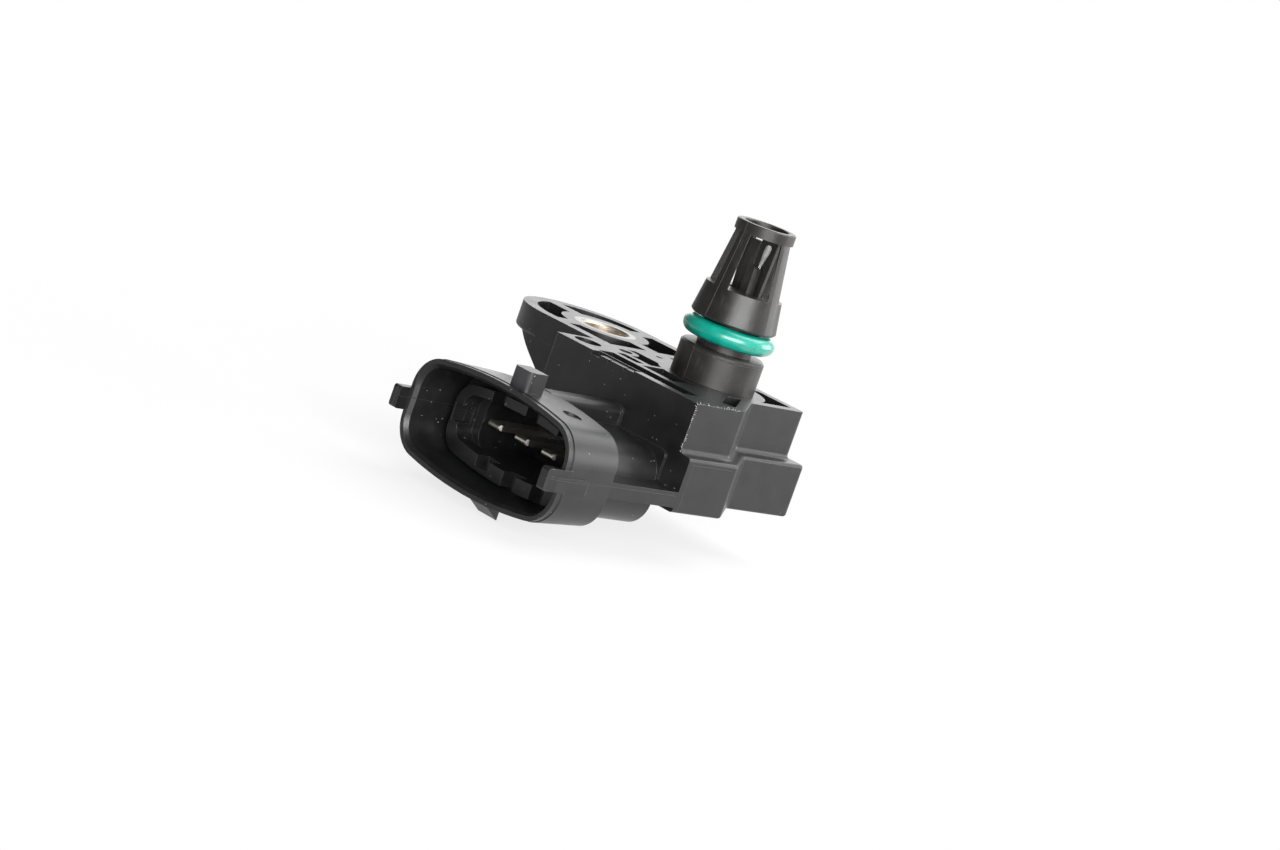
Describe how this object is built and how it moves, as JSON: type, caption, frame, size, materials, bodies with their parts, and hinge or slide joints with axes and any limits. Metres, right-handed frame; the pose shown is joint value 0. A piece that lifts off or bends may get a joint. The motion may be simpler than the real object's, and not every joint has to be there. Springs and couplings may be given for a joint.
{
  "type": "manifold absolute pressure sensor",
  "caption": "Engine intake pressure and temperature sensor: flanged plastic body with a sealed caged port, a metal screw bush and a shrouded electrical socket.",
  "frame": {"origin": "where the axis of the pressure port meets the flange's seating face", "axes": "+Z along the port to its open tip, -X towards the screw bush, -Y out of the connector's mouth"},
  "size_m": [0.0516, 0.0539, 0.0437],
  "materials": {
    "housing_plastic": "satin moulded black, glass-filled",
    "port_plastic": "satin moulded black, glass-filled",
    "seal_rubber": "smooth, slightly glossy green",
    "bush_metal": "turned, bright",
    "terminal_metal": "tin plated",
    "thermistor_coating": "smooth grey coating",
    "lead_metal": "drawn wire",
    "adhesive": "cured silicone",
    "ceramic": "fired ceramic, fine grain",
    "seal_silicone": "soft moulded",
    "cell_plastic": "moulded",
    "pedestal_glass": "ground",
    "silicon": "polished",
    "gel": "soft clear gel",
    "chip_plastic": "moulded",
    "solder": "bright solder",
    "capacitor_ceramic": "fired ceramic"
  },
  "bodies": {
    "root": {"bottom_cover": "housing_plastic", "capacitor_1": "capacitor_ceramic", "capacitor_2": "capacitor_ceramic", "capacitor_3": "capacitor_ceramic", "cell_frame": "cell_plastic", "chamber_seal": "seal_silicone", "circuit_board": "ceramic", "cover_adhesive": "adhesive", "glass_pedestal": "pedestal_glass", "housing": "housing_plastic", "mounting_bush": "bush_metal", "o_ring": "seal_rubber", "port_adhesive": "adhesive", "pressure_die": "silicon", "pressure_port": "port_plastic", "protective_gel": "gel", "signal_chip": "chip_plastic", "solder_joint_1": "solder", "solder_joint_2": "solder", "solder_joint_3": "solder", "solder_joint_4": "solder", "terminal_1": "terminal_metal", "terminal_2": "terminal_metal", "terminal_3": "terminal_metal", "terminal_4": "terminal_metal", "thermistor_carrier": "port_plastic", "thermistor_drop": "thermistor_coating", "thermistor_lead_1": "lead_metal", "thermistor_lead_2": "lead_metal"}
  },
  "joints": []
}
